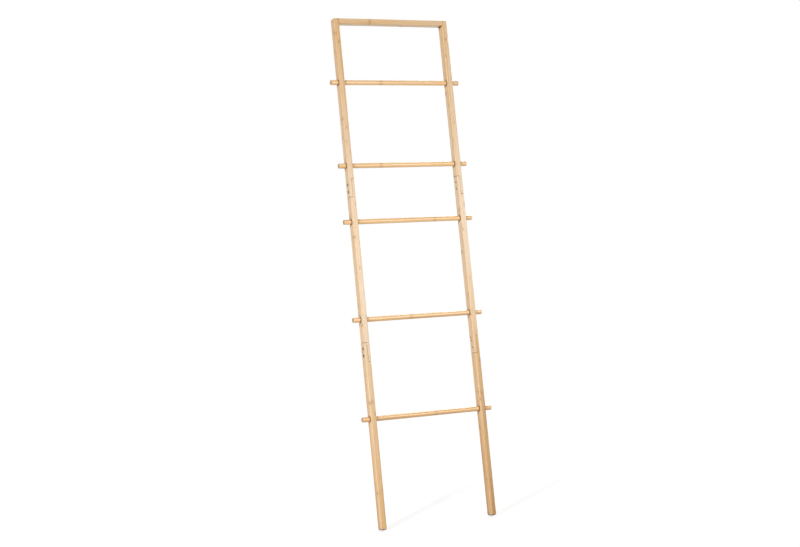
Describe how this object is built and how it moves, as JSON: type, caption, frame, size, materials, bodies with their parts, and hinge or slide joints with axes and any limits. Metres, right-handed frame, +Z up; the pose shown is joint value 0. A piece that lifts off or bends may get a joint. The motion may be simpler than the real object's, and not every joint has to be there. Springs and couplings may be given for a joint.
{
  "type": "blanket ladder",
  "caption": "Leaning bamboo blanket ladder: two jointed posts, a flat top bar and round rungs that pass through the posts and stand out past them.",
  "frame": {"origin": "on the floor, under the middle of the leaning ladder's overall box", "axes": "+X to the right along the rungs, +Y to the back, towards the wall that the tops lean to, +Z up"},
  "size_m": [0.5, 0.45, 1.7569],
  "materials": {
    "bamboo": "satin clear lacquer on strip-laminated bamboo",
    "bamboo_rung": "satin clear lacquer on turned laminated bamboo",
    "foot_rubber": "matt anti-slip rubber",
    "bolt_steel": "black zinc plated",
    "insert_steel": "yellow zinc plated",
    "dowel_wood": "bare beech"
  },
  "bodies": {
    "root": {"top_bar": "bamboo", "rung_1": "bamboo_rung", "rung_2": "bamboo_rung", "rung_3": "bamboo_rung", "rung_4": "bamboo_rung", "rung_5": "bamboo_rung", "post_upper_left": "bamboo", "post_upper_right": "bamboo", "post_middle_left": "bamboo", "post_middle_right": "bamboo", "post_lower_left": "bamboo", "post_lower_right": "bamboo", "foot_pad_left": "foot_rubber", "foot_pad_right": "foot_rubber", "lap_bolts_left": "bolt_steel", "lap_bolts_right": "bolt_steel", "lap_inserts_left": "insert_steel", "lap_inserts_right": "insert_steel", "bar_dowels_left": "dowel_wood", "bar_dowels_right": "dowel_wood"}
  },
  "joints": []
}
